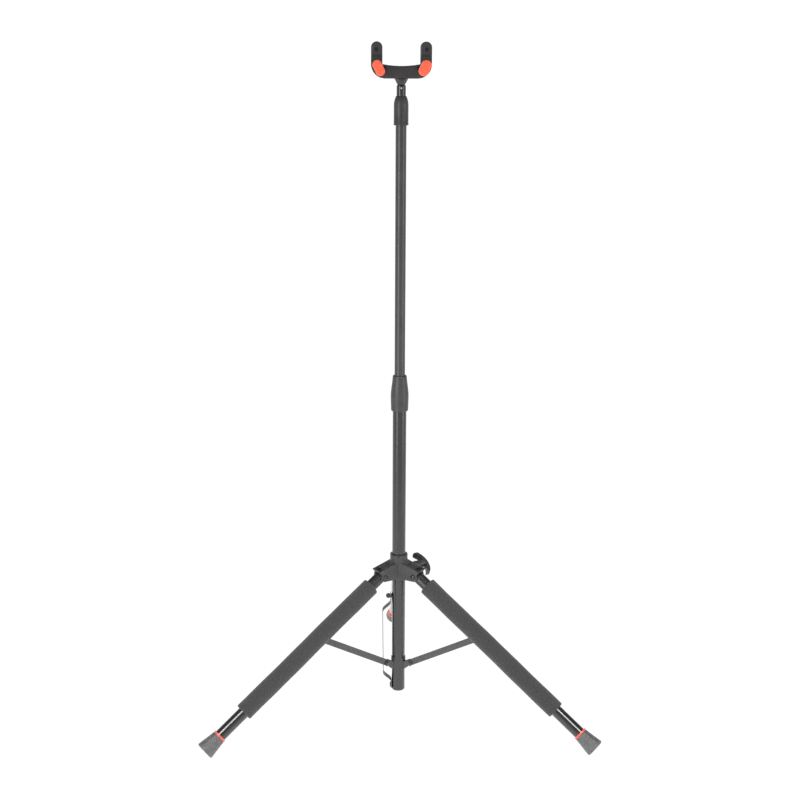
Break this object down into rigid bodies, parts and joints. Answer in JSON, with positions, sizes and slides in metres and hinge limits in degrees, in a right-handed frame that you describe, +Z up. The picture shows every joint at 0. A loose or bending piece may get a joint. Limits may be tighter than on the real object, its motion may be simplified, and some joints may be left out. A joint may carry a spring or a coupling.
{
  "type": "folding guitar stand",
  "caption": "Folding tripod stand with foam-sleeved legs, a telescopic mast and a hanging yoke whose padded fingers close on an instrument's neck.",
  "frame": {"origin": "middle of the footprint's bounding rectangle, on the floor; the mast axis stands 97.9 mm towards -Y", "axes": "+Z up; -Y towards the front, where the two sleeved legs and the yoke's fingers point; +X to the right seen from the front"},
  "size_m": [0.72, 0.6285, 1.2362],
  "materials": {
    "gloss_tube": "gloss black powder coat",
    "satin_tube": "satin black",
    "moulded_plastic": "fine-grained dark grey moulding",
    "dark_plastic": "black moulding",
    "pale_nylon": "natural nylon",
    "black_steel": "satin black",
    "grey_steel": "dark zinc plate",
    "bright_steel": "bright plated",
    "black_nickel": "polished black nickel plate",
    "black_screws": "black oxide",
    "brass": "plain",
    "coral_rubber": "soft coral rubber",
    "red_ring": "red rubber",
    "foot_rubber": "dark rubber",
    "strap_rubber": "flat rubber",
    "foam": "closed-cell foam"
  },
  "bodies": {
    "post": {"lower_tube": "gloss_tube", "post_end_cap": "dark_plastic", "brace_lugs": "black_steel", "lug_rivets": "black_steel", "strap_button": "dark_plastic", "strap_rivet": "dark_plastic", "leg_strap": "strap_rubber", "clutch_insert": "dark_plastic", "clutch_collet": "pale_nylon"},
    "clutch": {"clutch_grip": "moulded_plastic"},
    "mast": {"upper_tube": "satin_tube", "tube_guide": "pale_nylon", "neck_collar": "moulded_plastic"},
    "swivel": {"push_rod": "bright_steel", "return_spring": "bright_steel"},
    "yoke": {"yoke_spindle": "black_nickel", "spindle_pin": "bright_steel", "yoke_body": "moulded_plastic", "yoke_cover": "moulded_plastic", "cover_screws": "black_screws", "grip_screws": "black_screws"},
    "left_finger": {"grip_lever_left": "dark_plastic", "grip_pad_left": "coral_rubber"},
    "right_finger": {"grip_lever_right": "dark_plastic", "grip_pad_right": "coral_rubber"},
    "hub": {"hub_body": "moulded_plastic", "hub_bush": "dark_plastic", "leg_bolts": "black_nickel", "clamp_nut": "brass", "clamp_shoe": "pale_nylon"},
    "knob": {"clamp_knob": "dark_plastic", "clamp_screw": "bright_steel"},
    "left_leg": {"leg_tube_left": "gloss_tube", "leg_plug_left": "dark_plastic", "leg_bracket_left": "black_steel", "bracket_rivet_left": "black_steel", "foot_left": "foot_rubber", "foot_ring_left": "red_ring", "foam_left": "foam"},
    "left_brace": {"brace_left": "grey_steel", "brace_pin_left": "black_steel"},
    "right_leg": {"leg_tube_right": "gloss_tube", "leg_plug_right": "dark_plastic", "leg_bracket_right": "black_steel", "bracket_rivet_right": "black_steel", "foot_right": "foot_rubber", "foot_ring_right": "red_ring", "foam_right": "foam"},
    "right_brace": {"brace_right": "grey_steel", "brace_pin_right": "black_steel"},
    "rear_leg": {"leg_tube_rear": "gloss_tube", "leg_plug_rear": "dark_plastic", "leg_bracket_rear": "black_steel", "bracket_rivet_rear": "black_steel", "foot_rear": "foot_rubber", "foot_ring_rear": "red_ring"},
    "rear_brace": {"brace_rear": "grey_steel", "brace_pin_rear": "black_steel"}
  },
  "joints": [
    {"name": "mast_slide", "type": "slide", "parent": "post", "child": "mast", "axis": [0, 0, 1], "range_m": [-0.42, 0]},
    {"name": "clutch_turn", "type": "hinge", "parent": "post", "child": "clutch", "pos_m": [0, -0.09786, 0.62], "axis": [0, 0, 1], "range_deg": [0, 270]},
    {"name": "yoke_swivel", "type": "hinge", "parent": "mast", "child": "swivel", "pos_m": [0, -0.09786, 1.13], "axis": [0, 0, 1], "range_deg": [-180, 180]},
    {"name": "yoke_drop", "type": "slide", "parent": "swivel", "child": "yoke", "axis": [0, 0, 1], "range_m": [-0.008, 0], "stiffness_N_per_m": 600, "springref_m": 0.02, "deforming": ["return_spring"]},
    {"name": "left_grip", "type": "hinge", "parent": "yoke", "child": "left_finger", "pos_m": [-0.0431, -0.09786, 1.2233], "axis": [0, 1, 0], "range_deg": [-12, 0]},
    {"name": "right_grip", "type": "hinge", "parent": "yoke", "child": "right_finger", "pos_m": [0.0431, -0.09786, 1.2233], "axis": [0, 1, 0], "range_deg": [0, 12]},
    {"name": "hub_slide", "type": "slide", "parent": "post", "child": "hub", "axis": [0, 0, 1], "range_m": [0, 0.1257]},
    {"name": "knob_turn", "type": "hinge", "parent": "hub", "child": "knob", "pos_m": [0.0433, -0.07286, 0.279], "axis": [0.866, 0.5, 0], "range_deg": [0, 540]},
    {"name": "left_leg_fold", "type": "hinge", "parent": "hub", "child": "left_leg", "pos_m": [-0.03248, -0.11661, 0.2727], "axis": [0.5, -0.866, 0], "range_deg": [0, 46.56]},
    {"name": "left_brace_fold", "type": "hinge", "parent": "left_leg", "child": "left_brace", "pos_m": [-0.13319, -0.17475, 0.16758], "axis": [-0.5, 0.866, 0], "range_deg": [0, 100.1]},
    {"name": "right_leg_fold", "type": "hinge", "parent": "hub", "child": "right_leg", "pos_m": [0.03248, -0.11661, 0.2727], "axis": [0.5, 0.866, 0], "range_deg": [0, 46.56]},
    {"name": "right_brace_fold", "type": "hinge", "parent": "right_leg", "child": "right_brace", "pos_m": [0.13319, -0.17475, 0.16758], "axis": [-0.5, -0.866, 0], "range_deg": [0, 100.1]},
    {"name": "rear_leg_fold", "type": "hinge", "parent": "hub", "child": "rear_leg", "pos_m": [0, -0.06036, 0.2727], "axis": [-1, 0, 0], "range_deg": [0, 46.56]},
    {"name": "rear_brace_fold", "type": "hinge", "parent": "rear_leg", "child": "rear_brace", "pos_m": [0, 0.05593, 0.16758], "axis": [1, 0, 0], "range_deg": [0, 100.1]}
  ],
  "couplings": [
    {"joint": "left_leg_fold", "follows": "hub_slide", "rad_per_m": 6.4642},
    {"joint": "left_brace_fold", "follows": "hub_slide", "rad_per_m": 13.898},
    {"joint": "right_leg_fold", "follows": "hub_slide", "rad_per_m": 6.4642},
    {"joint": "right_brace_fold", "follows": "hub_slide", "rad_per_m": 13.898},
    {"joint": "rear_leg_fold", "follows": "hub_slide", "rad_per_m": 6.4642},
    {"joint": "rear_brace_fold", "follows": "hub_slide", "rad_per_m": 13.898},
    {"joint": "left_grip", "follows": "yoke_drop", "rad_per_m": 26.18},
    {"joint": "right_grip", "follows": "yoke_drop", "rad_per_m": -26.18}
  ]
}
